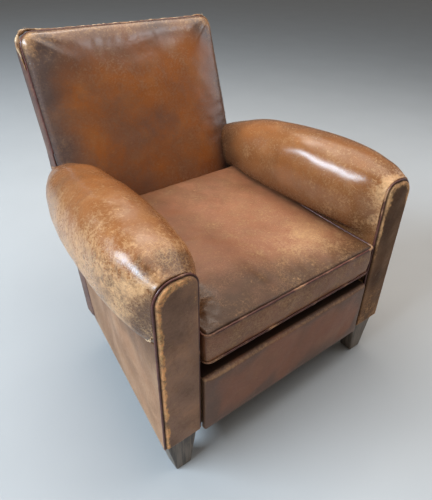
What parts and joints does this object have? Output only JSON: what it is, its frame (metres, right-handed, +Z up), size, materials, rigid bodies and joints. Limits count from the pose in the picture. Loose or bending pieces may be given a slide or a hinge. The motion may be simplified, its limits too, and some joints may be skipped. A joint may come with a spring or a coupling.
{
  "type": "club chair",
  "caption": "Worn leather club chair with a raked square back, fat rolled arms with piped flat facings, a loose boxed seat cushion and short tapered feet.",
  "frame": {"origin": "on the floor under the middle of the chair's overall box", "axes": "+Z up, +Y towards the back, +X towards the arm on the right as seen from the front"},
  "size_m": [0.785, 0.7724, 0.828],
  "materials": {
    "arm_leather": "worn tan-brown leather, crackled and rubbed pale at the front",
    "back_leather": "glossy orange-brown leather, darker at the edges",
    "cushion_leather": "medium brown leather, greyed and rubbed towards the front",
    "facing_leather": "dark grey-brown leather with a tan worn strip inside the piping",
    "outside_leather": "smooth pinkish tan leather",
    "rail_leather": "red-brown leather with grey borders",
    "piping_leather": "dark maroon piped cord, tan where it is worn",
    "deck_cloth": "dark platform cloth",
    "foot_wood": "dark stained beech, scuffed",
    "beech": "plain sawn beech",
    "jute": "woven jute",
    "stuffing": "hair and cotton stuffing",
    "spring_steel": "drawn wire"
  },
  "bodies": {
    "root": {"front_post_right": "beech", "front_post_left": "beech", "front_rail": "beech", "back_rail": "beech", "side_rail_right": "beech", "side_rail_left": "beech", "arm_board_right": "beech", "arm_board_left": "beech", "rear_post_right": "beech", "rear_post_left": "beech", "back_top_rail": "beech", "back_stay_rail": "beech", "front_foot_right": "foot_wood", "front_foot_left": "foot_wood", "rear_foot_right": "foot_wood", "rear_foot_left": "foot_wood", "seat_webbing_long_1": "jute", "seat_webbing_long_2": "jute", "seat_webbing_long_3": "jute", "seat_webbing_cross_1": "jute", "seat_webbing_cross_2": "jute", "seat_webbing_cross_3": "jute", "seat_spring_1": "spring_steel", "seat_spring_2": "spring_steel", "seat_spring_3": "spring_steel", "seat_spring_4": "spring_steel", "seat_spring_5": "spring_steel", "seat_spring_6": "spring_steel", "seat_spring_7": "spring_steel", "seat_spring_8": "spring_steel", "seat_spring_9": "spring_steel", "seat_hessian": "jute", "seat_pad": "stuffing", "seat_deck_cover": "deck_cloth", "back_webbing_1": "jute", "back_webbing_2": "jute", "back_webbing_3": "jute", "back_pad": "stuffing", "inside_back_cover": "back_leather", "back_border": "outside_leather", "outside_back_panel": "outside_leather", "back_piping": "piping_leather", "arm_pad_right": "stuffing", "arm_pad_left": "stuffing", "arm_cover_right": "arm_leather", "arm_cover_left": "arm_leather", "arm_facing_right": "facing_leather", "arm_facing_left": "facing_leather", "facing_board_right": "beech", "facing_board_left": "beech", "facing_piping_right": "piping_leather", "facing_piping_left": "piping_leather", "outside_arm_panel_right": "outside_leather", "outside_arm_panel_left": "outside_leather", "front_rail_cover": "rail_leather", "seat_cushion": "cushion_leather", "cushion_piping_top": "piping_leather", "cushion_piping_bottom": "piping_leather"}
  },
  "joints": []
}
